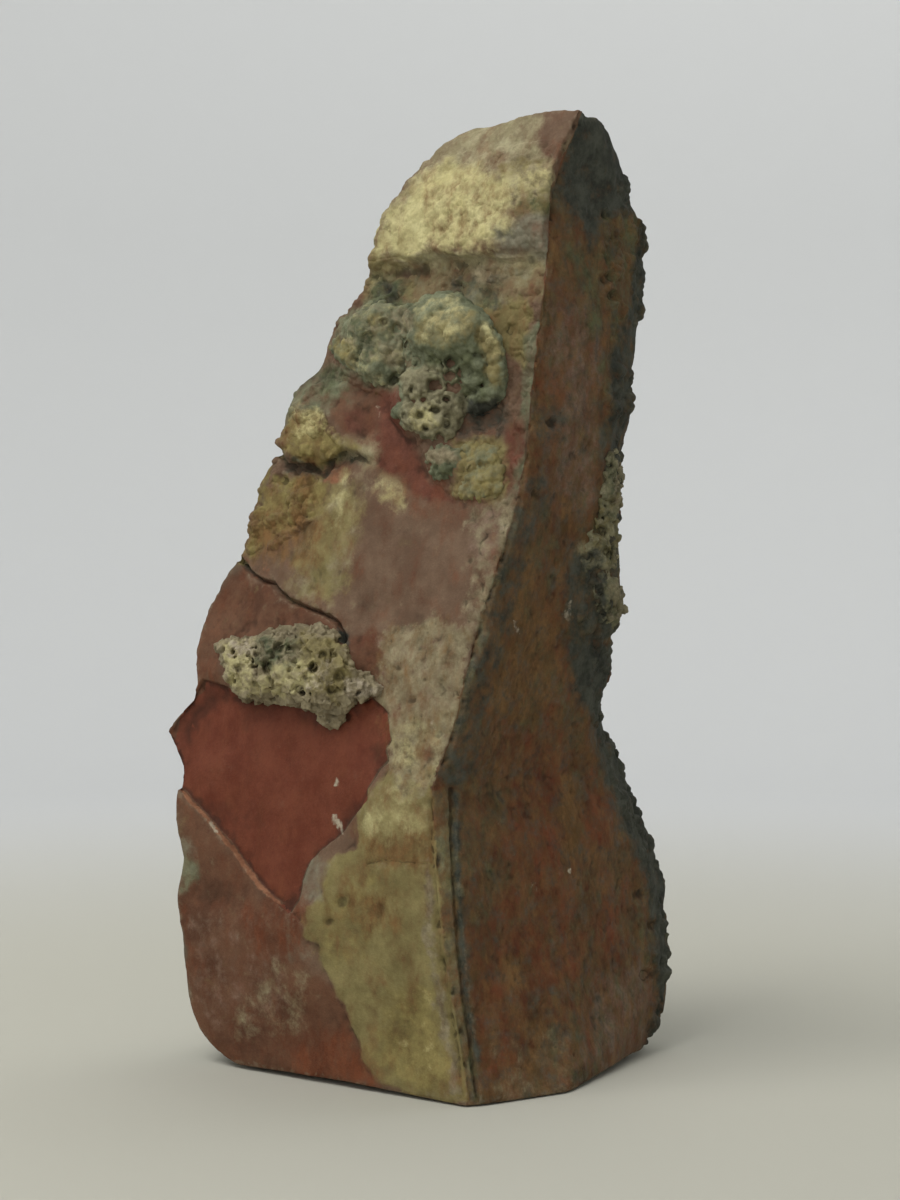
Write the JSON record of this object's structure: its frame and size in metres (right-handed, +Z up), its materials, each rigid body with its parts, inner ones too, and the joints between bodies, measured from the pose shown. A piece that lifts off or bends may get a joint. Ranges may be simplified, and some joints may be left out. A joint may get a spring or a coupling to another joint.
{
  "type": "viewing stone",
  "caption": "Upright natural stone with a sharp front ridge, two broad faces and rough mineral crusts, standing on a small flat spot.",
  "frame": {"origin": "middle of the stone's box, on the flat spot it stands on", "axes": "+Z up along the stone's length, -Y towards the viewer who faces the ridge, +X to that viewer's right"},
  "size_m": [0.1112, 0.0782, 0.2001],
  "materials": {
    "stone": "satin"
  },
  "bodies": {
    "root": {"stone": "stone"}
  },
  "joints": []
}
